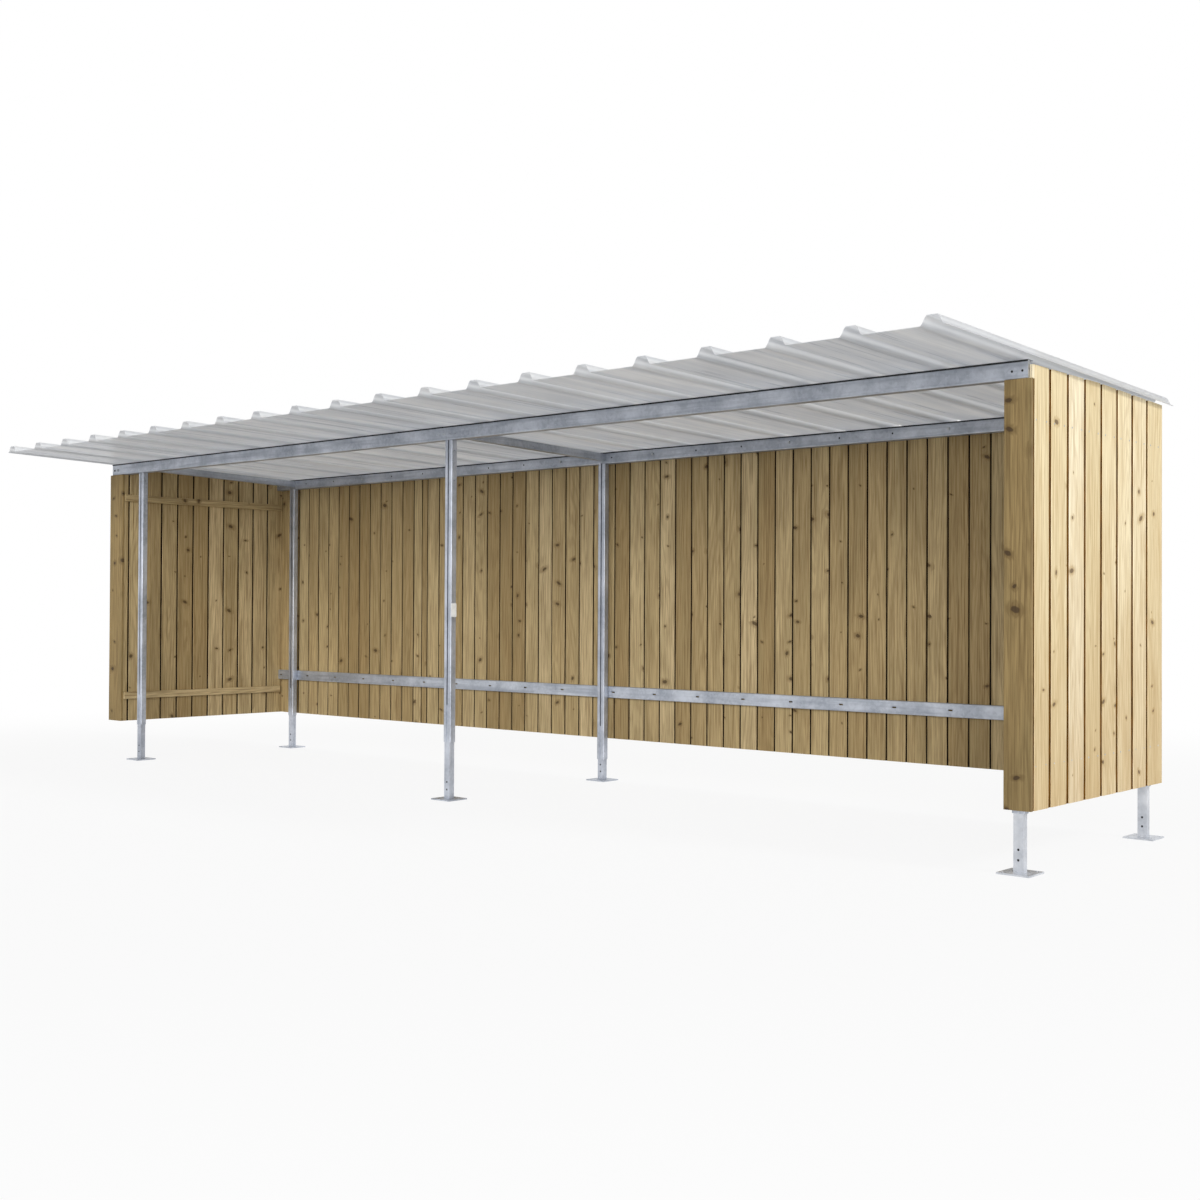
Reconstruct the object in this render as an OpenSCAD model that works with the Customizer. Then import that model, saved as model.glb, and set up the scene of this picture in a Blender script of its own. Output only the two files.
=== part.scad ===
// Open-front cycle shelter: galvanised steel frame, timber walls, ribbed translucent roof.
// Frame: X along the length, Y to the back, Z up, origin on the ground under the roof's centre.

/* [Bays] */
// Post spacing of the bay on the right, centre to centre
bay_right = 3600; // [2400:10:4500]
// Post spacing of the bay on the left, centre to centre
bay_left = 3350; // [2400:10:4500]
// Front to rear post spacing, centre to centre
post_depth = 1370; // [900:10:2200]
// From the left post's centre out to the outer face of the left wall
left_end = 390; // [300:5:600]
// Gap between the right posts and the boards of the right wall
right_wall_gap = 18; // [2:1:40]

/* [Heights] */
// Underside of the front beam, and top of the front posts
front_clear = 2125; // [1700:5:2600]
// Drop of the roof from its seat on the front beam to its seat on the rear top rail
roof_fall = 40; // [20:1:100]
// Underside of the middle rail on the back wall
mid_rail_z = 545; // [400:5:1200]
// Gap under all the walls
wall_gap = 275; // [220:5:380]
// From the underside of the rear top rail down to the underside of the upper timber rails
upper_rail_drop = 166; // [80:1:600]

/* [Posts and feet] */
// Width of a post, along the shelter
post_w = 60; // [50:1:90]
// Depth of a post, front to back
post_d = 42; // [36:1:60]
// Sheet thickness of posts, rails and rafters
steel_t = 2.5; // [1.5:0.5:4]
// Slot between the two lips of a post
post_slot = 10; // [8:1:30]
// Clearance all round between a foot and its post
foot_play = 0.3; // [0.2:0.1:0.8]
// Clearance on each side of a foot across its post
foot_side_play = 4.5; // [0.3:0.1:6]
// Length of foot that runs up inside its post
foot_overlap = 220; // [100:10:400]
// Inside bend radius of the folded posts, beams and rails
bend_r = 3; // [1:0.5:5]
// Lower end of the middle front post above the ground
sleeve_front_mid = 340; // [200:5:400]
// Lower end of the middle rear post above the ground
sleeve_rear_mid = 140; // [100:5:400]
// Lower end of the four end posts above the ground
sleeve_end = 260; // [150:5:400]
// Side of the square base plate
plate_w = 150; // [120:5:220]
// Thickness of the base plate
plate_t = 8; // [5:1:15]
// Spacing of the four anchor holes in a base plate
anchor_spacing = 110; // [80:1:110]
// Diameter of an anchor hole
anchor_d = 14; // [8:1:16]

/* [Beams and rails] */
// Height of the front beam
beam_h = 82; // [60:1:140]
// Depth of the front beam, front to back
beam_d = 50; // [40:1:56]
// Sheet thickness of the front beam
beam_t = 3; // [2:0.5:5]
// Front beam's face in front of the post centre line
beam_face = 35; // [21:1:40]
// Height of the rear top rail and of the middle rail
rail_h = 76; // [60:1:120]
// Depth of the middle rail between the posts and the boards
mid_rail_d = 28; // [20:1:45]
// Rear top rail's face in front of the rear post centre line
rear_face = 5; // [0:1:15]
// Height of a rafter
rafter_h = 48; // [36:1:60]
// Width of a rafter
rafter_w = 40; // [30:1:60]
// Air between the top of a rafter and the roof sheet
rafter_gap = 12; // [10:1:16]
// Gap between two beams or rails that meet over a post
joint_gap = 2; // [1:0.5:6]
// Diameter of the fixing holes in beams and rails
hole_d = 9; // [6:1:12]
// Spacing of the fixing holes in the rear top rail and the middle rail
hole_pitch = 350; // [200:10:600]

/* [Roof] */
// Distance from the front posts to the front edge of the roof
roof_front = 850; // [400:10:1000]
// Distance from the rear posts to the rear edge of the roof
roof_rear = 130; // [100:5:300]
// Roof edge beyond the outer face of the right wall
roof_right = 32; // [10:1:80]
// Number of roof sheets side by side
sheets = 7; // [4:1:9]
// Ribs in one roof sheet
ribs_per_sheet = 3; // [2:1:4]
// Height of a rib
rib_h = 42; // [25:1:60]
// Width of a rib at its foot
rib_base = 108; // [80:1:130]
// Width of a rib at its top
rib_top = 48; // [30:1:70]
// Thickness of the roof sheet
sheet_t = 2; // [1.2:0.1:3]

/* [Timber] */
// Thickness of the wall boards
board_t = 20; // [16:1:28]
// Width of the front trim board on the right wall
trim_right_w = 127; // [110:1:160]
// Width of the front trim board on the left wall
trim_left_w = 170; // [140:1:200]
// Height of a timber rail
timber_h = 50; // [40:1:70]
// Thickness of the timber rails and studs
timber_t = 45; // [30:1:60]
// Thickness of the cover rails on the inner face of the left wall
cover_rail_t = 22; // [16:1:30]
// Height of the lower timber rail on the side walls
low_rail_z = 440; // [400:5:500]
// Level top of the side walls below the roof's seat on the front beam
side_drop = 22; // [12:1:40]
// Clearance between the tops of the walls and the roof sheet
top_gap = 3; // [2:1:10]

/* [Hidden] */
SHEET_NODES = [for (i = [1 : sheets]) str("roof_sheet_", i)];
$fn = 48;

GALV = "#8E939B";
TIMBER = "#A58C5C";
SUNLIT_TIMBER = "#D9C48F";
OPAL = "#B9BAB8";

// Plan positions
right_end = post_w / 2 + right_wall_gap + board_t;
roof_w = left_end + bay_left + bay_right + right_end + roof_right;
roof_d = roof_front + post_depth + roof_rear;
x_right = roof_w / 2 - roof_right - right_end;
x_mid = x_right - bay_right;
x_left = x_mid - bay_left;
y_front = -roof_d / 2 + roof_front;
y_rear = y_front + post_depth;
wall_out_left = x_left - left_end;
wall_out_right = x_right + right_end;
wall_in_left = wall_out_left + trim_left_w;
frame_left = wall_out_left + board_t;
frame_right = wall_out_right - board_t;
y_trim = y_front - post_d / 2 - board_t;
y_side = y_front - post_d / 2;
y_beam = y_front - beam_face;
y_beam_back = y_beam + beam_d;
y_post_back = y_rear + post_d / 2;
y_board = y_post_back + mid_rail_d;
y_back = y_board + board_t;
y_rail = y_rear - rear_face;

// Roof plane: its underside rests on the back edges of the front beam and of the rear top rail
z_front_seat = front_clear + beam_h;
rear_clear = z_front_seat - roof_fall - rail_h;
fall = roof_fall / (y_board - y_beam_back);
slope = atan(fall);
function roof_z(y) = z_front_seat - fall * (y - y_beam_back);

rib_count = sheets * ribs_per_sheet;
rib_margin = 6;
rib_edge = rib_base / 2 + rib_margin;
rib_pitch = (roof_w - 2 * rib_edge) / (rib_count - 1);
sheet_len = (roof_d - (rib_h + sheet_t) * sin(slope)) / cos(slope);

// Holes: first one from a beam's end, the next one, height in the beam, drops from a post's top
foot_w = post_w - 2 * steel_t - 2 * foot_side_play;
foot_d = post_d - 2 * steel_t - 2 * foot_play;
hole_edge = 25;
hole_step = 48;
beam_hole_rise = 35;
post_hole_drops = [60, 240];
foot_hole_heights = [60, 105];
slot_len = 26;

// Left wall's frame and the heights of the timber rails
stud_w = trim_left_w - 2 * board_t;
z_head = front_clear - timber_t;
z_upper_rail = rear_clear - upper_rail_drop;

// Rectangle from the origin with rounded corners
module soft_rect(w, h, r) {
    translate([r, 0]) square([w - 2 * r, h]);
    translate([0, r]) square([w, h - 2 * r]);
    for (x = [r, w - r], y = [r, h - r])
        translate([x, y]) circle(r = r);
}

// Outline of a folded box section
module folded_section(w, h, t) {
    difference() {
        soft_rect(w, h, bend_r + t);
        translate([t, t]) soft_rect(w - 2 * t, h - 2 * t, bend_r);
    }
}

// Lipped channel standing upright, open to the front
module lipped_post(z0, z1) {
    translate([0, 0, z0]) linear_extrude(z1 - z0) difference() {
        translate([-post_w / 2, -post_d / 2]) folded_section(post_w, post_d, steel_t);
        translate([-post_slot / 2, -post_d / 2 - 1]) square([post_slot, steel_t + 2]);
    }
}

// Hole through a face that looks to the front
module cross_hole(x, z, y0, y1, d = hole_d) {
    translate([x, y0 - 1, z]) rotate([-90, 0, 0]) cylinder(d = d, h = y1 - y0 + 2);
}

module post(x, y, z0, z1) {
    color(GALV) translate([x, y, 0]) difference() {
        lipped_post(z0, z1);
        for (drop = post_hole_drops)
            translate([0, 0, z1 - drop]) rotate([0, 90, 0])
                cylinder(d = hole_d, h = post_w + 2, center = true);
    }
}

// Channel foot on a square base plate with four anchor holes
module foot(x, y, z_post) {
    top = z_post + foot_overlap;
    hole_off = anchor_spacing / 2;
    color(GALV) translate([x, y, 0]) difference() {
        union() {
            translate([-plate_w / 2, -plate_w / 2, 0]) cube([plate_w, plate_w, plate_t]);
            translate([-foot_w / 2, -foot_d / 2, 0]) cube([foot_w, foot_d, top]);
        }
        translate([-foot_w / 2 + steel_t, -foot_d / 2 + steel_t, plate_t])
            cube([foot_w - 2 * steel_t, foot_d, top]);
        for (sx = [-1, 1], sy = [-1, 1])
            translate([sx * hole_off, sy * hole_off, -1]) cylinder(d = anchor_d, h = plate_t + 2);
        for (z = foot_hole_heights)
            cross_hole(0, z, -foot_d / 2, -foot_d / 2 + steel_t);
    }
}

// Channel lying along X with its web to the front
module channel_x(x0, x1, y0, depth, z0, h, t) {
    open_back = 2 * (bend_r + t);
    translate([x0, y0, z0]) rotate([90, 0, 90]) linear_extrude(x1 - x0) intersection() {
        folded_section(depth + open_back, h, t);
        square([depth, h]);
    }
}

module front_beam(x0, x1) {
    z_hole = front_clear + beam_hole_rise;
    color(GALV) difference() {
        channel_x(x0, x1, y_beam, beam_d, front_clear, beam_h, beam_t);
        for (i = [0, 1]) {
            cross_hole(x0 + hole_edge + i * hole_step, z_hole, y_beam, y_beam + beam_t);
            cross_hole(x1 - hole_edge - i * hole_step, z_hole, y_beam, y_beam + beam_t);
        }
    }
}

// Fixing holes at an even pitch, the same distance from both ends
function hole_count(x0, x1) = floor((x1 - x0 - 2 * hole_edge) / hole_pitch);
function hole_start(x0, x1) = ((x0 + x1) - hole_count(x0, x1) * hole_pitch) / 2;

module rear_top_rail(x0, x1) {
    color(GALV) difference() {
        channel_x(x0, x1, y_rail, y_board - y_rail, rear_clear, rail_h, steel_t);
        for (i = [0 : hole_count(x0, x1)])
            cross_hole(hole_start(x0, x1) + i * hole_pitch, rear_clear + rail_h / 2,
                       y_rail, y_rail + steel_t);
    }
}

module mid_rail(x0, x1) {
    color(GALV) difference() {
        channel_x(x0, x1, y_post_back, mid_rail_d, mid_rail_z, rail_h, steel_t);
        for (i = [0 : hole_count(x0, x1)])
            translate([hole_start(x0, x1) + i * hole_pitch - slot_len / 2, y_post_back - 1,
                       mid_rail_z + rail_h / 2 - hole_d / 2])
                cube([slot_len, steel_t + 2, hole_d]);
    }
}

// Channel rafter from the front beam's web to the rear top rail, under the roof sheet
module rafter(x) {
    y0 = y_beam + beam_t;
    y1 = y_rail;
    z0 = roof_z(y0) - rafter_gap;
    z1 = roof_z(y1) - rafter_gap;
    color(GALV) difference() {
        translate([x - rafter_w / 2, 0, 0]) rotate([90, 0, 90]) linear_extrude(rafter_w)
            polygon([[y0, z0 - rafter_h], [y1, z1 - rafter_h], [y1, z1], [y0, z0]]);
        translate([x - rafter_w / 2 - 1, 0, 0]) rotate([90, 0, 90])
            linear_extrude(rafter_w - steel_t + 1)
            polygon([[y0 - 1, z0 - rafter_h + steel_t], [y1 + 1, z1 - rafter_h + steel_t],
                     [y1 + 1, z1 - steel_t], [y0 - 1, z0 - steel_t]]);
    }
}

// Upper line of one ribbed sheet, from x = 0 to x = width, ribs at the given centres
function rib_line(centres) = [for (c = centres)
    each [[c - rib_base / 2, 0], [c - rib_top / 2, rib_h],
          [c + rib_top / 2, rib_h], [c + rib_base / 2, 0]]];

// One roof sheet: it reaches half way to the neighbouring ribs, or to the roof's edge
module roof_sheet(i) {
    first = i * ribs_per_sheet;
    last = first + ribs_per_sheet - 1;
    left = (i == 0) ? 0 : rib_edge + (first - 0.5) * rib_pitch;
    right = (i == sheets - 1) ? roof_w : rib_edge + (last + 0.5) * rib_pitch;
    line = rib_line([for (k = [first : last]) rib_edge + k * rib_pitch]);
    under = concat([[left, 0]], line, [[right, 0]]);
    over = [for (k = [len(under) - 1 : -1 : 0]) [under[k][0], under[k][1] + sheet_t]];
    color(OPAL)
        translate([-roof_w / 2, -roof_d / 2, roof_z(-roof_d / 2)]) rotate([-slope, 0, 0])
            rotate([90, 0, 0]) translate([0, 0, -sheet_len]) linear_extrude(sheet_len)
                polygon(concat(under, over));
}

// Outline of boards from y0 to y1, up to z_top or to the roof where that is lower
module board_outline(y0, y1, z_top) {
    intersection() {
        translate([y0, wall_gap]) square([y1 - y0, z_top - wall_gap]);
        polygon([[y0, wall_gap], [y1, wall_gap],
                 [y1, roof_z(y1) - top_gap], [y0, roof_z(y0) - top_gap]]);
    }
}

module back_wall(x0, x1) {
    color(TIMBER) translate([x0, y_board, wall_gap])
        cube([x1 - x0, board_t, roof_z(y_back) - top_gap - wall_gap]);
}

// Outer boarding of a side wall: level top that meets the roof's fall part of the way back
module side_boards(x0) {
    translate([x0, 0, 0]) rotate([90, 0, 90]) linear_extrude(board_t)
        board_outline(y_side, y_back, z_front_seat - side_drop);
}

// Inner boarding of the left wall, cut out round the front beam
module left_inner_boards() {
    color(TIMBER) translate([wall_in_left - board_t, 0, 0]) rotate([90, 0, 90])
        linear_extrude(board_t) {
            board_outline(y_side, y_beam_back, front_clear);
            board_outline(y_beam_back, y_board, z_front_seat);
        }
}

module trim(x0, w) {
    color(TIMBER) translate([x0, y_trim, wall_gap]) cube([w, board_t, front_clear - wall_gap]);
}

module timber_bar(x0, w, y0, y1, z0, h) {
    color(TIMBER) translate([x0, y0, z0]) cube([w, y1 - y0, h]);
}

post(x_left, y_front, sleeve_end, front_clear);  // post_front_left
post(x_mid, y_front, sleeve_front_mid, front_clear);  // post_front_mid
post(x_right, y_front, sleeve_end, front_clear);  // post_front_right
post(x_left, y_rear, sleeve_end, rear_clear);  // post_rear_left
post(x_mid, y_rear, sleeve_rear_mid, rear_clear);  // post_rear_mid
post(x_right, y_rear, sleeve_end, rear_clear);  // post_rear_right
foot(x_left, y_front, sleeve_end);  // foot_front_left
foot(x_mid, y_front, sleeve_front_mid);  // foot_front_mid
foot(x_right, y_front, sleeve_end);  // foot_front_right
foot(x_left, y_rear, sleeve_end);  // foot_rear_left
foot(x_mid, y_rear, sleeve_rear_mid);  // foot_rear_mid
foot(x_right, y_rear, sleeve_end);  // foot_rear_right
front_beam(frame_left, x_mid - joint_gap / 2);  // front_beam_left
front_beam(x_mid + joint_gap / 2, frame_right);  // front_beam_right
rear_top_rail(wall_in_left, x_mid - joint_gap / 2);  // rear_top_rail_left
rear_top_rail(x_mid + joint_gap / 2, frame_right);  // rear_top_rail_right
mid_rail(wall_in_left, x_mid - joint_gap / 2);  // mid_rail_left
mid_rail(x_mid + joint_gap / 2, frame_right);  // mid_rail_right
rafter(x_left);  // rafter_left
rafter(x_mid);  // rafter_mid
rafter(frame_right - rafter_w / 2);  // rafter_right
back_wall(frame_left, x_mid);  // back_wall_left
back_wall(x_mid, frame_right);  // back_wall_right
color(SUNLIT_TIMBER) side_boards(frame_right);  // right_wall
color(SUNLIT_TIMBER) side_boards(wall_out_left);  // left_wall_outer
left_inner_boards();  // left_wall_inner
trim(wall_out_right - trim_right_w, trim_right_w);  // right_front_trim
trim(wall_out_left, trim_left_w);  // left_front_trim
timber_bar(frame_left, stud_w, y_side, y_side + timber_t, wall_gap, front_clear - wall_gap);  // left_front_stud
timber_bar(frame_left, stud_w, y_board - timber_t, y_board, wall_gap, z_head - wall_gap);  // left_rear_stud
timber_bar(frame_left, stud_w, y_side + timber_t, y_board, z_head, timber_t);  // left_head_rail
timber_bar(frame_left, stud_w, y_side + timber_t, y_board - timber_t, wall_gap, timber_t);  // left_sill_rail
timber_bar(wall_in_left, cover_rail_t, y_side, y_post_back, z_upper_rail, timber_h);  // left_upper_cover_rail
timber_bar(wall_in_left, cover_rail_t, y_side, y_post_back, low_rail_z, timber_h);  // left_lower_cover_rail
timber_bar(frame_right - timber_t, timber_t, y_front + post_d / 2, y_rear - post_d / 2,  // right_upper_timber_rail
               z_upper_rail, timber_h);
timber_bar(frame_right - timber_t, timber_t, y_front + post_d / 2, y_rear - post_d / 2,  // right_lower_timber_rail
               low_rail_z, timber_h);
for (i = [0 : sheets - 1])
    roof_sheet(i);
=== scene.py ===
import math
import random

import bmesh
import bpy
from mathutils import Matrix, Vector


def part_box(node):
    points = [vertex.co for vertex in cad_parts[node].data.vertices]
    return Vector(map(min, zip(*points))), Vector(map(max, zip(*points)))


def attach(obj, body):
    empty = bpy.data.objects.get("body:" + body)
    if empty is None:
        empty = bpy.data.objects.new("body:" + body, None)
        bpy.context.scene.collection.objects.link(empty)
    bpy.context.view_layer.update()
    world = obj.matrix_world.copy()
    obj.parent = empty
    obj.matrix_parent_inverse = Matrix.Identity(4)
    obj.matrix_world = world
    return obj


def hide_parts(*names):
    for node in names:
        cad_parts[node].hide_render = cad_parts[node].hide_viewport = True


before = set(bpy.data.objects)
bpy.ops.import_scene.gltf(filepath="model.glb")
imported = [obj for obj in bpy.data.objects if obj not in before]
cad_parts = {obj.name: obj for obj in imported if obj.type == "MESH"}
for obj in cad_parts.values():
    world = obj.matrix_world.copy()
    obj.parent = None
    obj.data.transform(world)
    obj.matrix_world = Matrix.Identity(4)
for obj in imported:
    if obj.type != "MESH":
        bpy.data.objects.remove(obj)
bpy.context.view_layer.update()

# ---------------------------------------------------------------- sizes, in metres

# Boards. A gap is the open joint between two boards; the lead is the gap before a side wall's
# first board, and the reach is how far the first inner board goes past the front beam
BACK_PITCH = 0.128
BACK_GAP = 0.010
FILLER_BOARD = 0.062
WIDE_FILLER_BOARD = 0.092
SIDE_BOARDS = 8
SIDE_GROOVE = 0.026
SIDE_LEAD = 0.017
INNER_BOARDS = 10
INNER_GAP = 0.012
INNER_REACH = 0.008
ARRIS = 0.0025
SIDE_ARRIS = 0.0035
TONGUE_DEPTH = 0.006
WARP = 0.0007
WARP_ROOM = 2 * WARP
BOARD_RINGS = 9
GRAIN_RANGE = 90
ROOF_CLEARANCE = 0.003

# Roof sheet; angles flatter than the smooth angle, in degrees, are shaded smooth
RIBS_PER_SHEET = 3
RIB_HEIGHT = 0.042
RIB_BASE = 0.108
RIB_TOP = 0.044
SHEET_THICKNESS = 0.002
RIB_MARGIN = 0.006
COLUMN_STEP = 0.005
SHEET_ROWS = 13
WELD = 0.0001
SMOOTH_ANGLE = 40

# Fixings, painted shadow strips, blank plate and beam end lips
RAIL_HOLE_EDGE = 0.025
RAIL_HOLE_PITCH = 0.350
BEAM_HOLES = (0.025, 0.073)
BEAM_HOLE_RISE = 0.035
SCREW_INSET = 0.028
SCREW_SINK = 0.0015
ROOF_SCREW_SINK = 0.007
WASHER_SIDES = 20
HEAD_TAPER = 0.82
FOOT_HOLES = (0.060, 0.105)
FOOT_FACE = 0.0182
STRIP_THICKNESS = 0.002
STRIP_HEIGHT = 0.009
PLATE_LOW = 1.080
PLATE_HEIGHT = 0.080
PLATE_THICKNESS = 0.0012
PLATE_CORNER = 0.004
LIP_THICKNESS = 0.0025
LIP_DEPTH = 0.0190
LIP_NOTCH = 0.008

# Stage: the floor turns from shaded to plain white between the two fade distances
FLOOR_REACH = 60.0
FADE_START = 4.0
FADE_END = 9.0
FLOOR_WHITENESS = 0.90
WORLD_STRENGTH = 0.48

# Lamps: name, direction, strength, spread in degrees
LAMPS = (("key", (-0.80, -0.12, -0.60), 1.3, 12),
         ("front_fill", (-0.55, 0.80, -0.22), 2.1, 35))

# Camera: where the eye stands from the roof's front right corner, its angles in degrees, its
# lens and sensor in millimetres, and its shift as a share of the frame
EYE_RIGHT = 2.757
EYE_OUT = 5.120
EYE_HEIGHT = 1.125
YAW = 41.55
PITCH = 0.64
ROLL = 0.28
FOCAL = 44.33
SENSOR_WIDTH = 36.0
FAR_CLIP = 200
SHIFT = (0.0020, -0.0055)


# ---------------------------------------------------------------- colours and nodes

def linear(code):
    """Linear RGBA of an sRGB hex colour."""
    parts = [int(code[i:i + 2], 16) / 255 for i in (1, 3, 5)]
    lin = [c / 12.92 if c <= 0.04045 else ((c + 0.055) / 1.055) ** 2.4 for c in parts]
    return (*lin, 1.0)


def add_node(tree, kind, inputs=(), out=0, **settings):
    """Adds a node with its properties, and returns its output socket out.

    Inputs are values or other nodes' sockets, in the order of the node's own inputs, or keyed by
    name or number. A Mix node takes vectors in 4 and 5 and gives their mix as output 1; it takes
    colours in 6 and 7 and gives theirs as output 2."""
    node = tree.nodes.new(kind)
    for name, value in settings.items():
        setattr(node, name, value)
    pairs = inputs.items() if isinstance(inputs, dict) else enumerate(inputs)
    for key, value in pairs:
        if isinstance(value, bpy.types.NodeSocket):
            tree.links.new(value, node.inputs[key])
        else:
            node.inputs[key].default_value = value
    return node.outputs[out] if len(node.outputs) else node


def stretched_noise(tree, vector, scale, detail=2.0, roughness=0.5, distortion=0.0):
    """Pattern of a noise over stretched coordinates; scale is per metre on each axis."""
    place = add_node(tree, "ShaderNodeMapping", {"Vector": vector, "Scale": scale})
    return add_node(tree, "ShaderNodeTexNoise",
                    {"Vector": place, "Scale": 1.0, "Detail": detail, "Roughness": roughness,
                     "Distortion": distortion})


def tinted(tree, base, code, pattern, most=1.0, span=None, blend="MIX"):
    """Base colour turned towards another by a pattern.

    Its share is the pattern times most, or rises smoothly to most while the pattern passes
    through span."""
    if span:
        share = add_node(tree, "ShaderNodeMapRange", (pattern, *span, 0.0, most),
                         interpolation_type="SMOOTHSTEP")
    else:
        share = add_node(tree, "ShaderNodeMath", (pattern, most), operation="MULTIPLY")
    return add_node(tree, "ShaderNodeMix", {0: share, 6: base, 7: linear(code)}, out=2,
                    data_type="RGBA", blend_type=blend)


def new_material(name):
    """Material with one Principled shader; returns the material, its tree and the shader."""
    material = bpy.data.materials.new(name)
    material.use_nodes = True
    tree = material.node_tree
    return material, tree, tree.nodes["Principled BSDF"]


# ---------------------------------------------------------------- materials

def pine(name, tones, dark, knot, stain, knot_share=0.25, knot_growth=1.0,
         contrast=1.0, low_darkening=0.0):
    """Planed, pressure-treated pine: soft growth lines, brown knots, matt.

    Boards carry two attributes: grain is (across, along, depth) in metres, shifted for each
    board, and tone is one random number for each board, looked up in tones. Low darkening
    darkens the boards towards the bottom, from 1.9 m down to 0.2 m."""
    material, tree, shader = new_material(name)
    grain = add_node(tree, "ShaderNodeAttribute", out="Vector", attribute_name="grain")
    tone = add_node(tree, "ShaderNodeAttribute", out="Fac", attribute_name="tone")
    core, halo = knots(tree, grain, knot_share, knot_growth)

    # Growth lines, some 15 mm apart as on flat-sawn boards: contours of a noise stretched along
    # the board, pushed aside by the knots
    field = stretched_noise(tree, grain, (8.0, 0.50, 8.0), detail=1.5, roughness=0.45,
                            distortion=0.2)
    pushed = add_node(tree, "ShaderNodeMath", (halo, 0.045, field), operation="MULTIPLY_ADD")
    phase = add_node(tree, "ShaderNodeMath", (pushed, 120.0), operation="MULTIPLY")
    wave = add_node(tree, "ShaderNodeMath", (phase,), operation="SINE")
    lines = add_node(tree, "ShaderNodeMapRange", (wave, -0.3, 1.0, 0.0, 1.0),
                     interpolation_type="SMOOTHSTEP")

    # Fibres are 4 mm wide, coarser than real ones so that they still show from 8 m; streaks are
    # 10 mm wide and clouds 110 mm
    fibre = stretched_noise(tree, grain, (240, 4, 240), detail=3, roughness=0.7)
    streak = stretched_noise(tree, grain, (95, 1.4, 95), detail=3, roughness=0.6)
    cloud = stretched_noise(tree, grain, (9, 1.6, 9), detail=3, roughness=0.55)

    colour = add_node(tree, "ShaderNodeValToRGB", (tone,))
    stops = colour.node.color_ramp.elements
    while len(stops) < len(tones):
        stops.new(1.0)
    for stop, (position, code) in zip(stops, tones):
        stop.position = position
        stop.color = linear(code)
    for code, pattern, most, span in (
        (stain, cloud, 0.50, (0.40, 0.70)),
        (dark, lines, 0.20 * contrast, None),
        (dark, streak, 0.62 * contrast, (0.48, 0.76)),
        (dark, fibre, 0.60 * contrast, (0.42, 0.70)),
        (dark, halo, 0.50, None),
        (knot, core, 0.74, None),
    ):
        colour = tinted(tree, colour, code, pattern, most, span)
    # Darker towards the bottom, from 1.9 m down to 0.2 m
    place = add_node(tree, "ShaderNodeTexCoord", out="Object")
    height_up = add_node(tree, "ShaderNodeSeparateXYZ", (place,), out=2)
    colour = tinted(tree, colour, dark, height_up, low_darkening, (1.9, 0.2), "MULTIPLY")
    tree.links.new(colour, shader.inputs["Base Color"])

    rough = add_node(tree, "ShaderNodeMath", (fibre, 0.20, 0.52), operation="MULTIPLY_ADD")
    tree.links.new(rough, shader.inputs["Roughness"])
    relief = add_node(tree, "ShaderNodeMath", (lines, 0.5, fibre), operation="MULTIPLY_ADD")
    bump = add_node(tree, "ShaderNodeBump", {"Height": relief, "Strength": 0.35, "Distance": 0.0006})
    tree.links.new(bump, shader.inputs["Normal"])
    shader.inputs["IOR"].default_value = 1.45
    shader.inputs["Specular IOR Level"].default_value = 0.35
    return material


def knots(tree, grain, share, growth):
    """Core and halo of leaning oval knots in a share of 130 mm cells.

    Their radius is 3 to 12 mm, times growth."""
    wobble = add_node(tree, "ShaderNodeTexNoise", {"Vector": grain, "Scale": 60.0, "Detail": 2.0},
                      out="Color")
    shaken = add_node(tree, "ShaderNodeMix", {0: 0.010, 4: grain, 5: wobble}, out=1,
                      data_type="VECTOR")
    centre = add_node(tree, "ShaderNodeTexVoronoi",
                      {"Vector": shaken, "Scale": 7.5, "Randomness": 1.0}, out="Position",
                      voronoi_dimensions="2D")
    cell = centre.node.outputs["Color"]
    chance = add_node(tree, "ShaderNodeSeparateColor", (cell,)).node.outputs
    kept = add_node(tree, "ShaderNodeMath", (chance[0], 1.0 - share), operation="GREATER_THAN")
    away = add_node(tree, "ShaderNodeVectorMath", (shaken, centre), operation="SUBTRACT")
    part = add_node(tree, "ShaderNodeSeparateXYZ", (away,)).node.outputs

    # Each knot leans and is stretched in its own way
    spread = add_node(tree, "ShaderNodeMath", (chance[0], 13.7), operation="MULTIPLY")
    turn = add_node(tree, "ShaderNodeMath", (spread,), operation="FRACT")
    lean = add_node(tree, "ShaderNodeMath", (turn, 0.8, -0.4), operation="MULTIPLY_ADD")
    along = add_node(tree, "ShaderNodeMath", (lean, part[0], part[1]), operation="MULTIPLY_ADD")
    stretch = add_node(tree, "ShaderNodeMath", (chance[2], 1.3, 0.7), operation="MULTIPLY_ADD")
    across = add_node(tree, "ShaderNodeMath", (part[0], stretch), operation="DIVIDE")
    across_2 = add_node(tree, "ShaderNodeMath", (across, across), operation="MULTIPLY")
    along_2 = add_node(tree, "ShaderNodeMath", (along, along), operation="MULTIPLY")
    apart_2 = add_node(tree, "ShaderNodeMath", (across_2, along_2), operation="ADD")
    apart = add_node(tree, "ShaderNodeMath", (apart_2,), operation="SQRT")

    # Most knots are small: the chance is squared before it is made a radius
    luck = add_node(tree, "ShaderNodeMath", (chance[1], 2.0), operation="POWER")
    size = add_node(tree, "ShaderNodeMath", (luck, 0.0085, 0.0032), operation="MULTIPLY_ADD")
    radius = add_node(tree, "ShaderNodeMath", (size, growth), operation="MULTIPLY")
    near = add_node(tree, "ShaderNodeMath", (apart, radius), operation="DIVIDE")
    shares = []
    for outer, inner in ((1.25, 0.70), (3.2, 0.9)):
        filled = add_node(tree, "ShaderNodeMapRange", (near, outer, inner, 0.0, 1.0),
                          interpolation_type="SMOOTHSTEP")
        shares.append(add_node(tree, "ShaderNodeMath", (filled, kept), operation="MULTIPLY"))
    return shares


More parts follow.
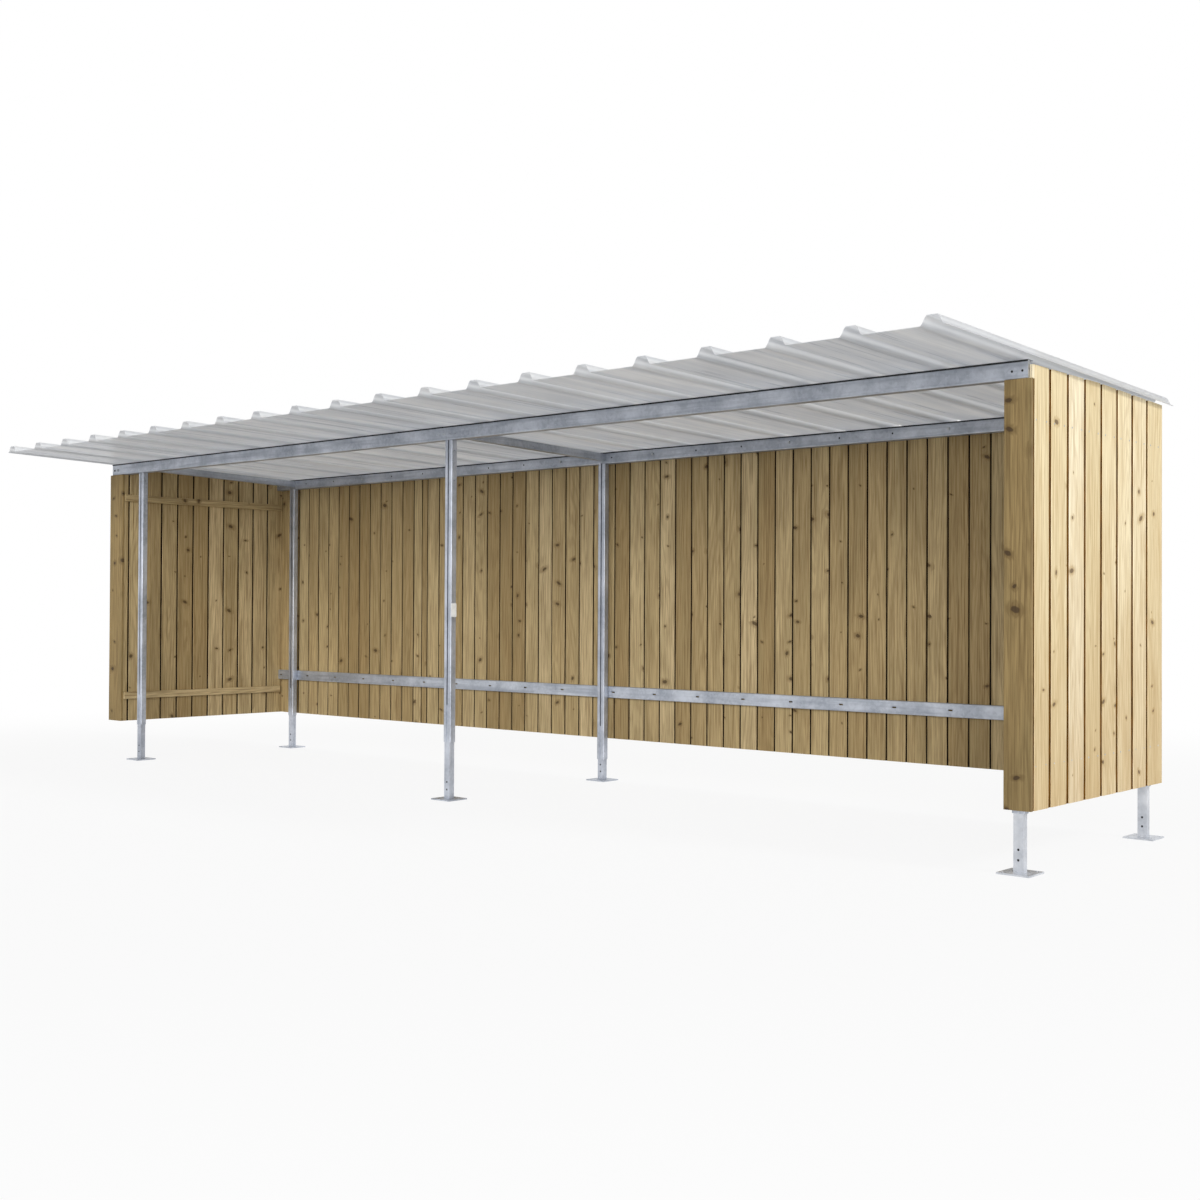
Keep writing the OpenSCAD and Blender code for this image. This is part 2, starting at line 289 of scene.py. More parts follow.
def galvanised_steel(name, streaks, streak_share, dull, bright):
    """Hot-dip galvanised sheet steel: blue-grey zinc with a soft spangle and satin patches.

    Faint rolling streaks, 36 mm wide, run along each section; streaks is their scale on each
    axis. Dull and bright are the two shades of the zinc, in clouds of 200 mm."""
    material, tree, shader = new_material(name)
    place = add_node(tree, "ShaderNodeTexCoord", out="Object")
    # Spangle cells are 14 mm, drawn a little coarse so that they still show from 8 m
    spangle = add_node(tree, "ShaderNodeTexVoronoi", {"Vector": place, "Scale": 70.0}, out="Color")
    flake = add_node(tree, "ShaderNodeSeparateColor", (spangle,))
    cloud = stretched_noise(tree, place, (5.0, 5.0, 5.0), detail=5, roughness=0.60)
    runs = stretched_noise(tree, place, streaks, detail=4, roughness=0.6)
    base = tinted(tree, linear(dull), bright, cloud, span=(0.30, 0.72))
    flaked = tinted(tree, base, "#E2E7F0", flake, 0.22)
    stained = tinted(tree, flaked, "#7C838F", runs, streak_share, (0.42, 0.68))
    tree.links.new(stained, shader.inputs["Base Color"])
    satin = add_node(tree, "ShaderNodeMath", (cloud, 0.22, 0.22), operation="MULTIPLY_ADD")
    rough = add_node(tree, "ShaderNodeMath", (flake, 0.08, satin), operation="MULTIPLY_ADD")
    tree.links.new(rough, shader.inputs["Roughness"])
    bump = add_node(tree, "ShaderNodeBump", {"Height": cloud, "Strength": 0.25, "Distance": 0.001})
    tree.links.new(bump, shader.inputs["Normal"])
    shader.inputs["Metallic"].default_value = 0.55
    return material


def opal_sheet():
    """Opal glass-fibre roof sheet: pale grey, lets a soft light through, glossy.

    The attribute rib is 0 on the flats and 1 on the crowns; the flanks between them, and the
    crowns less, are painted lighter and let more light through: painted light that cancels the
    shade in the ribs' hollows. Fine pale fibres run along the ribs, in bundles of 8 mm, coarser
    than real ones so that they show; the streaks are 45 mm wide and the patches 330 mm."""
    material, tree, shader = new_material("opal_roof_sheet")
    place = add_node(tree, "ShaderNodeTexCoord", out="Object")
    rib = add_node(tree, "ShaderNodeAttribute", out="Fac", attribute_name="rib")
    # Painted light: flanks, and crowns at 0.40, turn towards near white and let more light through,
    # to cancel the shade in the ribs' hollows
    flat = add_node(tree, "ShaderNodeMath", (1.0, rib), operation="SUBTRACT")
    both = add_node(tree, "ShaderNodeMath", (rib, flat), operation="MULTIPLY")
    slant = add_node(tree, "ShaderNodeMath", (both, 4.0), operation="MULTIPLY")
    flank = add_node(tree, "ShaderNodeMath", (slant, 5.0), operation="POWER")
    crown = add_node(tree, "ShaderNodeMath", (rib, 0.40), operation="MULTIPLY")
    rib_painted_light = add_node(tree, "ShaderNodeMath", (flank, crown), operation="MAXIMUM")
    streak = stretched_noise(tree, place, (22, 0.5, 22), detail=3, roughness=0.6)
    fine = stretched_noise(tree, place, (120, 1.5, 120), detail=2, roughness=0.5)
    patch = stretched_noise(tree, place, (3.0, 1.2, 3.0), detail=2)
    base = tinted(tree, linear("#DCDEE1"), "#EAEAEA", streak, span=(0.35, 0.70))
    fibred = tinted(tree, base, "#F4F4F3", fine, 0.30, (0.45, 0.75))
    patched = tinted(tree, fibred, "#CFD1D5", patch, 0.25, (0.40, 0.65))
    rib_lit_colour = tinted(tree, patched, "#F8F9FA", rib_painted_light, 0.80)
    tree.links.new(rib_lit_colour, shader.inputs["Base Color"])
    rough = add_node(tree, "ShaderNodeMath", (streak, 0.25, 0.18), operation="MULTIPLY_ADD")
    tree.links.new(rough, shader.inputs["Roughness"])
    shader.inputs["IOR"].default_value = 1.52
    ripple = add_node(tree, "ShaderNodeMath", (streak, 0.7, fine), operation="MULTIPLY_ADD")
    bump = add_node(tree, "ShaderNodeBump", {"Height": ripple, "Strength": 0.25, "Distance": 0.0010})
    tree.links.new(bump, shader.inputs["Normal"])
    through = add_node(tree, "ShaderNodeBsdfTranslucent", {"Color": rib_lit_colour})
    share = add_node(tree, "ShaderNodeMath", (rib_painted_light, 0.17, 0.55), operation="MULTIPLY_ADD")
    mixed = add_node(tree, "ShaderNodeMixShader", (share, shader.outputs[0], through))
    tree.links.new(mixed, tree.nodes["Material Output"].inputs["Surface"])
    return material


def zinc_plated():
    """Zinc-plated fixings: brighter and smoother than the galvanised sections, in 6 mm specks."""
    material, tree, shader = new_material("zinc_plated_fixings")
    place = add_node(tree, "ShaderNodeTexCoord", out="Object")
    film = stretched_noise(tree, place, (180, 180, 180), detail=2)
    shade = tinted(tree, linear("#9DA1A6"), "#C9CBCD", film, span=(0.35, 0.65))
    tree.links.new(shade, shader.inputs["Base Color"])
    rough = add_node(tree, "ShaderNodeMath", (film, 0.2, 0.25), operation="MULTIPLY_ADD")
    tree.links.new(rough, shader.inputs["Roughness"])
    shader.inputs["Metallic"].default_value = 0.9
    return material


def two_tone(name, scale, detail, span, tones, finish):
    """Plain surface whose colour drifts between two close tones.

    Finish holds the shader's even values; the drift's scale is per metre on each axis."""
    material, tree, shader = new_material(name)
    place = add_node(tree, "ShaderNodeTexCoord", out="Object")
    drift = stretched_noise(tree, place, scale, detail=detail)
    shade = tinted(tree, linear(tones[0]), tones[1], drift, span=span)
    tree.links.new(shade, shader.inputs["Base Color"])
    for key, value in finish.items():
        shader.inputs[key].default_value = value
    return material


PINE_INSIDE = pine("treated_pine_sheltered",
                   [(0.0, "#A68E62"), (0.3, "#BBA477"), (0.7, "#C8B285"), (1.0, "#D6C095")],
                   "#6E5530", "#33200F", "#9A8860", knot_share=0.27, knot_growth=1.15,
                   contrast=1.12)
# Darker copy of the sheltered pine: painted shade on the front-facing trim boards, which stand in
# shade
PINE_TRIM_PAINTED_SHADE = pine("treated_pine_trim_painted_shade",
                 [(0.0, "#8E7850"), (0.5, "#9D8659"), (1.0, "#A58D60")],
                 "#594322", "#2E1D10", "#7A6B47", knot_share=0.45, knot_growth=2.0)
# Paler copy of the sheltered pine: painted sunlight on the outer side walls, which stand in the sun
PINE_PAINTED_SUNLIT = pine("treated_pine_painted_sunlight",
                    [(0.0, "#E0CEA4"), (0.5, "#F0E1BA"), (1.0, "#F9EED1")],
                    "#AE8F5A", "#4A3119", "#D8C193", knot_share=0.26, contrast=0.95, low_darkening=0.35)

# Rough-sawn tongues and hidden board sides between the boards: dull, without any gloss, and
# near black, painted shade for the shadow in the grooves; on the sunlit outer walls a lighter
# brown, painted shade less deep
ROUGH_SAWN = {"Roughness": 0.95, "Specular IOR Level": 0.1}
JOINT_PAINTED_SHADE = two_tone("board_joint_painted_shade", (60, 60, 12), 3, (0.40, 0.65),
                 ("#160F08", "#2A1E0D"), ROUGH_SAWN)
JOINT_PAINTED_SHADE_SUNLIT = two_tone("board_joint_painted_shade_sunlit", (60, 60, 12), 3, (0.40, 0.65),
                         ("#50340E", "#704B19"), ROUGH_SAWN)

# Near black and matt: painted shadow in the strips along the beams' upper edges, and painted
# shade in the discs that fill the holes
PAINTED_SHADE_BLACK = two_tone("painted_shade_black", (25, 25, 25), 3, (0.35, 0.70),
                  ("#17181A", "#2C2D2F"), {"Roughness": 0.75})

# Smooth moulded PVC of the blank plate: white with a low gloss
WHITE_PLASTIC = two_tone("white_pvc", (30, 30, 30), 2, (0.35, 0.65),
                         ("#FBFBF9", "#F0F0EE"), {"Roughness": 0.35})

STEEL_UPRIGHT = galvanised_steel("galvanised_steel_upright", (28.0, 28.0, 1.4), 0.25,
                                 "#9AA0AB", "#CACFD9")
# Lighter copy of the upright steel: painted sunlight on the right feet, which stand in the sun
STEEL_FOOT_PAINTED_SUNLIGHT = galvanised_steel("galvanised_steel_painted_sunlight", (28.0, 28.0, 1.4), 0.12,
                              "#B6BAC1", "#E0E2E6")
STEEL_LENGTHWISE = galvanised_steel("galvanised_steel_lengthwise", (1.4, 28.0, 28.0), 0.50,
                                    "#949AA5", "#C4C9D2")
STEEL_CROSSWISE = galvanised_steel("galvanised_steel_crosswise", (28.0, 1.4, 28.0), 0.50,
                                   "#949AA5", "#C4C9D2")
ZINC = zinc_plated()
OPAL = opal_sheet()


# ---------------------------------------------------------------- timber

# Edges of a board's outline that face its neighbours, and a board piece's material slots
LOW_SIDE, HIGH_SIDE = 6, 2
PINE_SLOT, JOINT_SLOT = 0, 1


class BoardMesh:
    """Collects boards as closed solids, with their grain coordinates and tone."""

    def __init__(self, seed):
        self.rng = random.Random(seed)
        self.verts, self.faces, self.grain, self.tone, self.slots = [], [], [], [], []

    def add(self, origin, across, along, depth, width, thick, length_at, rings=2, warp=0.0,
            slot=PINE_SLOT, hidden=(), arris=ARRIS):
        """One board from its corner at origin; length_at(a) is its length at a across.

        Its cross-sections wander by up to twice warp along it, and its grain is shifted at
        random. The faces over the outline's edges in hidden take the joint's dark material, painted
        shade for the grooves."""
        rng = self.rng
        shift = Vector([rng.uniform(0, GRAIN_RANGE) for _ in range(3)])
        tone = rng.random()
        bow = [rng.uniform(-1, 1) for _ in range(4)]
        outline = chamfered(width, thick, min(arris, width / 4))
        first = len(self.verts)
        for ring in range(rings):
            t = ring / (rings - 1)
            wander = warp * (bow[0] * math.sin(math.pi * t) + bow[1] * math.sin(2.7 * math.pi * t))
            lift = warp * (bow[2] * math.sin(math.pi * t) + bow[3] * math.sin(2.2 * math.pi * t))
            for a, d in outline:
                s = length_at(a) * t
                self.verts.append(origin + across * (a + wander) + depth * (d + lift) + along * s)
                self.grain.append(shift + Vector((a, s, d)))
                self.tone.append(tone)
        count = len(outline)
        for ring in range(rings - 1):
            low = first + ring * count
            for i in range(count):
                j = (i + 1) % count
                self.faces.append((low + i, low + j, low + count + j, low + count + i))
                self.slots.append(JOINT_SLOT if i in hidden else slot)
        self.faces.append(tuple(first + i for i in reversed(range(count))))
        self.faces.append(tuple(first + (rings - 1) * count + i for i in range(count)))
        self.slots += [slot, slot]

    def piece(self, name, material, nodes, joint=JOINT_PAINTED_SHADE):
        """Makes the object, which stands for the named CAD nodes."""
        mesh = bpy.data.meshes.new(name)
        mesh.from_pydata([tuple(v) for v in self.verts], [], self.faces)
        grain = mesh.attributes.new("grain", "FLOAT_VECTOR", "POINT")
        grain.data.foreach_set("vector", [c for v in self.grain for c in v])
        tone = mesh.attributes.new("tone", "FLOAT", "POINT")
        tone.data.foreach_set("value", self.tone)
        outward(mesh)
        mesh.materials.append(material)
        mesh.materials.append(joint)
        mesh.polygons.foreach_set("material_index", self.slots)
        make_piece(name, mesh, nodes)


def chamfered(width, thick, arris):
    """Cross-section of a board with its four edges taken off."""
    w, t, e = width, thick, arris
    return [(e, 0), (w - e, 0), (w, e), (w, t - e), (w - e, t), (e, t), (0, t - e), (0, e)]


def outward(mesh):
    """Turns the faces of closed solids outwards."""
    bm = bmesh.new()
    bm.from_mesh(mesh)
    bmesh.ops.recalc_face_normals(bm, faces=bm.faces)
    bm.to_mesh(mesh)
    bm.free()


def make_piece(name, mesh, nodes=()):
    """Links a finished mesh as a piece on the root body."""
    piece = bpy.data.objects.new(name, mesh)
    bpy.context.scene.collection.objects.link(piece)
    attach(piece, "root")
    if nodes:
        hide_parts(*nodes)


AXIS_X, AXIS_Y, AXIS_Z = Vector((1, 0, 0)), Vector((0, 1, 0)), Vector((0, 0, 1))


def board_row(boards, start, across, depth, widths, gap, thick, top_at, arris=ARRIS, lead=0.0):
    """Upright boards side by side from start, with a tongue set back in each gap.

    Lead is the width of the gap before the first board; top_at gives the height of the row's top
    at a place along it."""
    tongue_in = depth * ((thick - TONGUE_DEPTH) / 2)

    def length_from(place, short=0.0):
        """Length of a board that begins at place, at each distance across it."""
        return lambda a: top_at(place + a) - start.z - short

    at = 0.0
    for i, pitch in enumerate(widths):
        last = i == len(widths) - 1
        inset = lead if i == 0 else 0.0
        width = pitch - inset - (0 if last else gap)
        corner = start + across * (at + inset)
        place = across.dot(corner)
        # Sides that face a neighbour, and the tongues, take the joint's dark material: painted shade
        # for the grooves
        hidden = ([LOW_SIDE] if i > 0 or lead else []) + ([] if last else [HIGH_SIDE])
        boards.add(corner + depth * WARP_ROOM, across, AXIS_Z, depth, width,
                   thick - 2 * WARP_ROOM, length_from(place), BOARD_RINGS, WARP, hidden=hidden,
                   arris=arris)
        if not last:
            boards.add(start + across * (at + inset + width - WARP) + tongue_in, across, AXIS_Z,
                       depth, gap + 2 * WARP, TONGUE_DEPTH, length_from(place + width, 2 * ARRIS),
                       slot=JOINT_SLOT)
        at += pitch
    if lead:
        boards.add(start + tongue_in, across, AXIS_Z, depth, lead + WARP, TONGUE_DEPTH,
                   length_from(across.dot(start), 2 * ARRIS), slot=JOINT_SLOT)


def even(total, count):
    """Widths of count equal boards."""
    return [total / count] * count


# ---------------------------------------------------------------- the roof's plane

sheet_boxes = [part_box(f"roof_sheet_{i}") for i in range(1, 8)]
roof_lo = sheet_boxes[0][0]
roof_hi = sheet_boxes[-1][1]
SHEET_RISE = RIB_HEIGHT + SHEET_THICKNESS
SLOPE = math.atan((roof_hi.z - roof_lo.z - SHEET_RISE) / (roof_hi.y - roof_lo.y))
SHEET_LENGTH = (roof_hi.y - roof_lo.y - SHEET_RISE * math.sin(SLOPE)) / math.cos(SLOPE)
ROOF_EDGE_Z = roof_hi.z - SHEET_RISE * math.cos(SLOPE)


def roof_under(y):
    """Height of the roof sheet's flat underside at y."""
    return ROOF_EDGE_Z - math.tan(SLOPE) * (y - roof_lo.y)


# ---------------------------------------------------------------- walls

def back_wall(side):
    """Boards of one bay of the back wall."""
    lo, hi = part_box(f"back_wall_{side}")
    boards = BoardMesh(f"back {side}")
    board_row(boards, lo, AXIS_X, AXIS_Y, back_widths(side, hi.x - lo.x), BACK_GAP, hi.y - lo.y,
              lambda x: hi.z)
    boards.piece(f"back_boards_{side}", PINE_INSIDE, [f"back_wall_{side}"])


def back_widths(side, total):
    """Stock boards, with narrow ones where two panels meet: at the start on the right, and half
    way along on the left."""
    fillers = [FILLER_BOARD] if side == "right" else [WIDE_FILLER_BOARD, FILLER_BOARD]
    rest = total - sum(fillers)
    if side == "right":
        return fillers + even(rest, round(rest / BACK_PITCH))
    half = round(rest / BACK_PITCH / 2)
    return even(rest / 2, half) + fillers + even(rest / 2, half)


def side_wall(side, node):
    """Outer boards of a side wall; a block closes the gap at their front above the trim board."""
    lo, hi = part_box(node)
    trim_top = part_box(f"{side}_front_trim")[1].z
    name = f"{side}_side_boards"
    boards = BoardMesh(name)

    def top_at(y):
        return min(hi.z, roof_under(y) - ROOF_CLEARANCE)

    board_row(boards, Vector((hi.x, lo.y, lo.z)), AXIS_Y, -AXIS_X,
              even(hi.y - lo.y, SIDE_BOARDS), SIDE_GROOVE, hi.x - lo.x, top_at, SIDE_ARRIS,
              SIDE_LEAD)
    boards.add(Vector((hi.x - WARP_ROOM, lo.y, trim_top)), AXIS_Y, AXIS_Z, -AXIS_X, SIDE_LEAD,
               hi.x - lo.x - 2 * WARP_ROOM, lambda a: top_at(lo.y + a) - trim_top)
    boards.piece(name, PINE_PAINTED_SUNLIT, [node], JOINT_PAINTED_SHADE_SUNLIT)


def inner_wall():
    """Inner boards of the left wall: the first one stops under the front beam."""
    lo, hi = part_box("left_wall_inner")
    beam_lo, beam_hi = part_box("front_beam_left")
    boards = BoardMesh("left inner")
    first = beam_hi.y - lo.y + INNER_REACH
    widths = [first] + even(hi.y - beam_hi.y - INNER_REACH, INNER_BOARDS)

    def top_at(y):
        return beam_lo.z if y < beam_hi.y else roof_under(y) - ROOF_CLEARANCE

    board_row(boards, Vector((hi.x, lo.y, lo.z)), AXIS_Y, -AXIS_X, widths, INNER_GAP,
              hi.x - lo.x, top_at)
    boards.piece("left_inner_boards", PINE_INSIDE, ["left_wall_inner"])


def timber_piece(node, name, along):
    """One plain length of timber in the box of its CAD node."""
    lo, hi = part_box(node)
    size = hi - lo
    boards = BoardMesh(name)
    if along == "Z":
        boards.add(lo, AXIS_X, AXIS_Z, AXIS_Y, size.x, size.y, lambda a: size.z, BOARD_RINGS)
    else:
        boards.add(lo, AXIS_Z, AXIS_Y, AXIS_X, size.z, size.x, lambda a: size.y, BOARD_RINGS)
    boards.piece(name, PINE_TRIM_PAINTED_SHADE if "trim" in node else PINE_INSIDE, [node])


back_wall("left")
back_wall("right")
side_wall("right", "right_wall")
side_wall("left", "left_wall_outer")
inner_wall()
for node, name, along in (
    ("right_front_trim", "right_front_board", "Z"),
    ("left_front_trim", "left_front_board", "Z"),
    ("left_front_stud", "left_front_upright", "Z"),
    ("left_rear_stud", "left_rear_upright", "Z"),
    ("left_head_rail", "left_head_timber", "Y"),
    ("left_sill_rail", "left_sill_timber", "Y"),
    ("left_upper_cover_rail", "left_upper_cover_board", "Y"),
    ("left_lower_cover_rail", "left_lower_cover_board", "Y"),
    ("right_upper_timber_rail", "right_upper_timber", "Y"),
    ("right_lower_timber_rail", "right_lower_timber", "Y"),
):
    timber_piece(node, name, along)


# ---------------------------------------------------------------- Geometry Nodes

def new_tree(name, inputs):
    """Geometry Nodes tree with named inputs; returns the tree, their sockets and identifiers."""
    tree = bpy.data.node_groups.new(name, "GeometryNodeTree")
    ids = {}
    for label, kind in inputs:
        ids[label] = tree.interface.new_socket(label, in_out="INPUT", socket_type=kind).identifier
    tree.interface.new_socket("Geometry", in_out="OUTPUT", socket_type="NodeSocketGeometry")
    return tree, tree.nodes.new("NodeGroupInput").outputs, ids


def finish_tree(tree, geometry, material):
    """Realize Instances, Set Material and the output, which end every tree."""
    real = add_node(tree, "GeometryNodeRealizeInstances", (geometry,))
    painted = add_node(tree, "GeometryNodeSetMaterial", {"Geometry": real, "Material": material})
    add_node(tree, "NodeGroupOutput", (painted,))


def run_tree(tree, ids, values, points=()):
    """Plain mesh that a tree gives with these values, from a mesh of loose points."""
    start = bpy.data.meshes.new("points")
    start.from_pydata([tuple(p) for p in points], [], [])
    holder = bpy.data.objects.new("holder", start)
    bpy.context.scene.collection.objects.link(holder)
    modifier = holder.modifiers.new("build", "NODES")
    modifier.node_group = tree
    for label, value in values.items():
        modifier[ids[label]] = value
    graph = bpy.context.evaluated_depsgraph_get()
    mesh = bpy.data.meshes.new_from_object(holder.evaluated_get(graph), depsgraph=graph)
    holder.modifiers.clear()
    bpy.data.objects.remove(holder)
    return mesh


def ribbed_sheet_tree():
    """One roof sheet: a grid raised into rounded ribs, given its thickness, then laid to the fall."""
    tree, given, ids = new_tree("ribbed sheet", [
        ("Width", "NodeSocketFloat"), ("Length", "NodeSocketFloat"), ("Columns", "NodeSocketInt"),
        ("First Rib", "NodeSocketFloat"), ("Pitch", "NodeSocketFloat"),
        ("Rib Height", "NodeSocketFloat"), ("Rib Base", "NodeSocketFloat"),
        ("Rib Top", "NodeSocketFloat"), ("Thickness", "NodeSocketFloat"),
        ("Corner", "NodeSocketVector"), ("Turn", "NodeSocketVector"),
        ("Material", "NodeSocketMaterial")])
    half_width, half_length, half_base, half_top = (
        add_node(tree, "ShaderNodeMath", (given[label], 0.5), operation="MULTIPLY")
        for label in ("Width", "Length", "Rib Base", "Rib Top"))
    grid = add_node(tree, "GeometryNodeMeshGrid",
                    {"Size X": given["Width"], "Size Y": given["Length"],
                     "Vertices X": given["Columns"], "Vertices Y": SHEET_ROWS})
    centre = add_node(tree, "ShaderNodeCombineXYZ", (half_width, half_length))
    moved = add_node(tree, "GeometryNodeTransform", {"Geometry": grid, "Translation": centre})

    # Distance across to the nearest rib's middle, and the height that it gives
    position = add_node(tree, "GeometryNodeInputPosition")
    across = add_node(tree, "ShaderNodeSeparateXYZ", (position,))
    from_first = add_node(tree, "ShaderNodeMath", (across, given["First Rib"]),
                          operation="SUBTRACT")
    pitches = add_node(tree, "ShaderNodeMath", (from_first, given["Pitch"]), operation="DIVIDE")
    shifted = add_node(tree, "ShaderNodeMath", (pitches, 0.5), operation="ADD")
    part = add_node(tree, "ShaderNodeMath", (shifted, 1.0), operation="FLOORED_MODULO")
    offset = add_node(tree, "ShaderNodeMath", (part, 0.5), operation="SUBTRACT")
    apart = add_node(tree, "ShaderNodeMath", (offset,), operation="ABSOLUTE")
    distance = add_node(tree, "ShaderNodeMath", (apart, given["Pitch"]), operation="MULTIPLY")
    height = add_node(tree, "ShaderNodeMapRange",
                      (distance, half_base, half_top, 0.0, given["Rib Height"]),
                      interpolation_type="SMOOTHSTEP")
    share = add_node(tree, "ShaderNodeMath", (height, given["Rib Height"]), operation="DIVIDE")
    marked = add_node(tree, "GeometryNodeStoreNamedAttribute", {0: moved, 2: "rib", 3: share})
    lift = add_node(tree, "ShaderNodeCombineXYZ", {2: height})
    ribbed = add_node(tree, "GeometryNodeSetPosition", {"Geometry": marked, "Offset": lift})

    # The raised sheet is the underside; its copy, pushed up by the thickness, is the upper side
    thick = add_node(tree, "ShaderNodeCombineXYZ", {2: given["Thickness"]})
    upper = add_node(tree, "GeometryNodeExtrudeMesh",
                     {"Mesh": ribbed, "Offset": thick, "Offset Scale": 1.0, "Individual": False},
                     mode="FACES")
    under = add_node(tree, "GeometryNodeFlipFaces", {"Mesh": ribbed})
    shell = add_node(tree, "GeometryNodeJoinGeometry", (upper,))
    tree.links.new(under, shell.node.inputs[0])
    closed = add_node(tree, "GeometryNodeMergeByDistance", {"Geometry": shell, "Distance": WELD})
    laid = add_node(tree, "GeometryNodeTransform",
                    {"Geometry": closed, "Translation": given["Corner"],
                     "Rotation": given["Turn"]})
    finish_tree(tree, laid, given["Material"])
    return tree, ids


def fixing_tree():
    """One fixing on each given point: a washer, and a head with any number of sides."""
    tree, given, ids = new_tree("fixings", [
        ("Points", "NodeSocketGeometry"), ("Turn", "NodeSocketVector"),
        ("Washer Radius", "NodeSocketFloat"),
        ("Washer Height", "NodeSocketFloat"), ("Head Radius", "NodeSocketFloat"),
        ("Head Height", "NodeSocketFloat"), ("Head Sides", "NodeSocketInt"),
        ("Material", "NodeSocketMaterial")])
    washer = add_node(tree, "GeometryNodeMeshCylinder",
                      {"Vertices": WASHER_SIDES, "Radius": given["Washer Radius"],
                       "Depth": given["Washer Height"]})
    top_radius = add_node(tree, "ShaderNodeMath", (given["Head Radius"], HEAD_TAPER),
                          operation="MULTIPLY")
    head = add_node(tree, "GeometryNodeMeshCone",
                    {"Vertices": given["Head Sides"], "Radius Bottom": given["Head Radius"],
                     "Radius Top": top_radius, "Depth": given["Head Height"]})
    above = add_node(tree, "ShaderNodeCombineXYZ", {2: given["Washer Height"]})
    raised = add_node(tree, "GeometryNodeTransform", {"Geometry": head, "Translation": above})
    fixing = add_node(tree, "GeometryNodeJoinGeometry", (washer,))
    tree.links.new(raised, fixing.node.inputs[0])
    placed = add_node(tree, "GeometryNodeInstanceOnPoints",
                      {"Points": given["Points"], "Instance": fixing, "Rotation": given["Turn"]})
    finish_tree(tree, placed, given["Material"])
    return tree, ids


# ---------------------------------------------------------------- roof

def roof():
    """The ribbed sheets; returns the first rib's place, the pitch and the number of ribs."""
    tree, ids = ribbed_sheet_tree()
    total = RIBS_PER_SHEET * len(sheet_boxes)
    width = roof_hi.x - roof_lo.x
    edge = RIB_BASE / 2 + RIB_MARGIN
    pitch = (width - 2 * edge) / (total - 1)
    for i, (lo, hi) in enumerate(sheet_boxes):
        first_rib = roof_lo.x + edge + i * RIBS_PER_SHEET * pitch - lo.x
        mesh = run_tree(tree, ids, {
            "Width": hi.x - lo.x, "Length": SHEET_LENGTH,
            "Columns": round((hi.x - lo.x) / COLUMN_STEP) + 1, "First Rib": first_rib,
            "Pitch": pitch, "Rib Height": RIB_HEIGHT, "Rib Base": RIB_BASE, "Rib Top": RIB_TOP,
            "Thickness": SHEET_THICKNESS, "Corner": (lo.x, roof_lo.y, ROOF_EDGE_Z),
            "Turn": (-SLOPE, 0.0, 0.0), "Material": OPAL})
        mesh.shade_smooth()
        mesh.set_sharp_from_angle(angle=math.radians(SMOOTH_ANGLE))
        make_piece(f"ribbed_sheet_{i + 1}", mesh, [f"roof_sheet_{i + 1}"])
    return roof_lo.x + edge, pitch, total


rib_first, rib_pitch, rib_total = roof()


# ---------------------------------------------------------------- fixings

FACE_FRONT = (math.pi / 2, 0.0, 0.0)
FACE_BACK = (-math.pi / 2, 0.0, 0.0)
FACE_RIGHT = (0.0, math.pi / 2, 0.0)
FACE_LEFT = (0.0, -math.pi / 2, 0.0)
FIXING_TREE, FIXING_IDS = fixing_tree()

# Washer radius, washer height, head radius, head height, sides of the head
WOOD_SCREW = (0.0045, 0.0006, 0.0036, 0.0008, 12)
SHADE_DISC = (0.0055, 0.0006, 0.0045, 0.0012, 16)
CUP_BOLT = (0.0100, 0.0016, 0.0085, 0.0050, 16)
HEX_BOLT = (0.0120, 0.0020, 0.0090, 0.0070, 6)
ROOF_SCREW = (0.0110, 0.0020, 0.0060, 0.0060, 6)


def fixing_set(kind, points, turn, material=ZINC):
    """Plain mesh of fixings of one kind, all turned the same way."""
    washer_r, washer_h, head_r, head_h, sides = kind
    return run_tree(FIXING_TREE, FIXING_IDS, {
        "Turn": turn, "Washer Radius": washer_r, "Washer Height": washer_h,
        "Head Radius": head_r, "Head Height": head_h, "Head Sides": sides, "Material": material},
        points)


def hardware_piece(name, bm, material):
    """Makes one piece of the small shapes gathered in bm."""
    mesh = bpy.data.meshes.new(name)
    bm.to_mesh(mesh)
    bm.free()
    mesh.materials.append(material)
    make_piece(name, mesh)


def fixings(name, sets, material=ZINC):
    """One piece from several sets of fixings."""
    bm = bmesh.new()
    for each in sets:
        bm.from_mesh(each)
    hardware_piece(name, bm, material)


def middle(corners, axis):
    """Middle of a box along one axis."""
    return (corners[0][axis] + corners[1][axis]) / 2


def roof_screws():
    """One capped screw on each rib over the front beam and over the rear rail."""
    points = []
    for beam in ("front_beam_left", "rear_top_rail_left"):
        y = middle(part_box(beam), 1)
        z = roof_under(y) + SHEET_RISE * math.cos(SLOPE) - ROOF_SCREW_SINK
        points += [(rib_first + i * rib_pitch, y, z) for i in range(rib_total)]
    fixings("roof_screws", [fixing_set(ROOF_SCREW, points, (-SLOPE, 0.0, 0.0))])


def box_faces(bm, lo, hi):
    """Adds a box from corner to corner."""
    made = bmesh.ops.create_cube(bm, size=1.0)["verts"]
    for vert in made:
        vert.co = Vector(((lo[i] + hi[i]) / 2 + vert.co[i] * (hi[i] - lo[i]) for i in range(3)))


def boxes_piece(name, corners, material, rounding=0.0):
    """One piece of boxes, given as pairs of corners.

    Rounding is the radius given to their short edges along X."""
    bm = bmesh.new()
    for lo, hi in corners:
        box_faces(bm, lo, hi)
    if rounding:
        short = [edge for edge in bm.edges if edge.verts[0].co.x != edge.verts[1].co.x]
        bmesh.ops.bevel(bm, geom=short, offset=rounding, segments=4, profile=0.5, affect="EDGES")
    hardware_piece(name, bm, material)


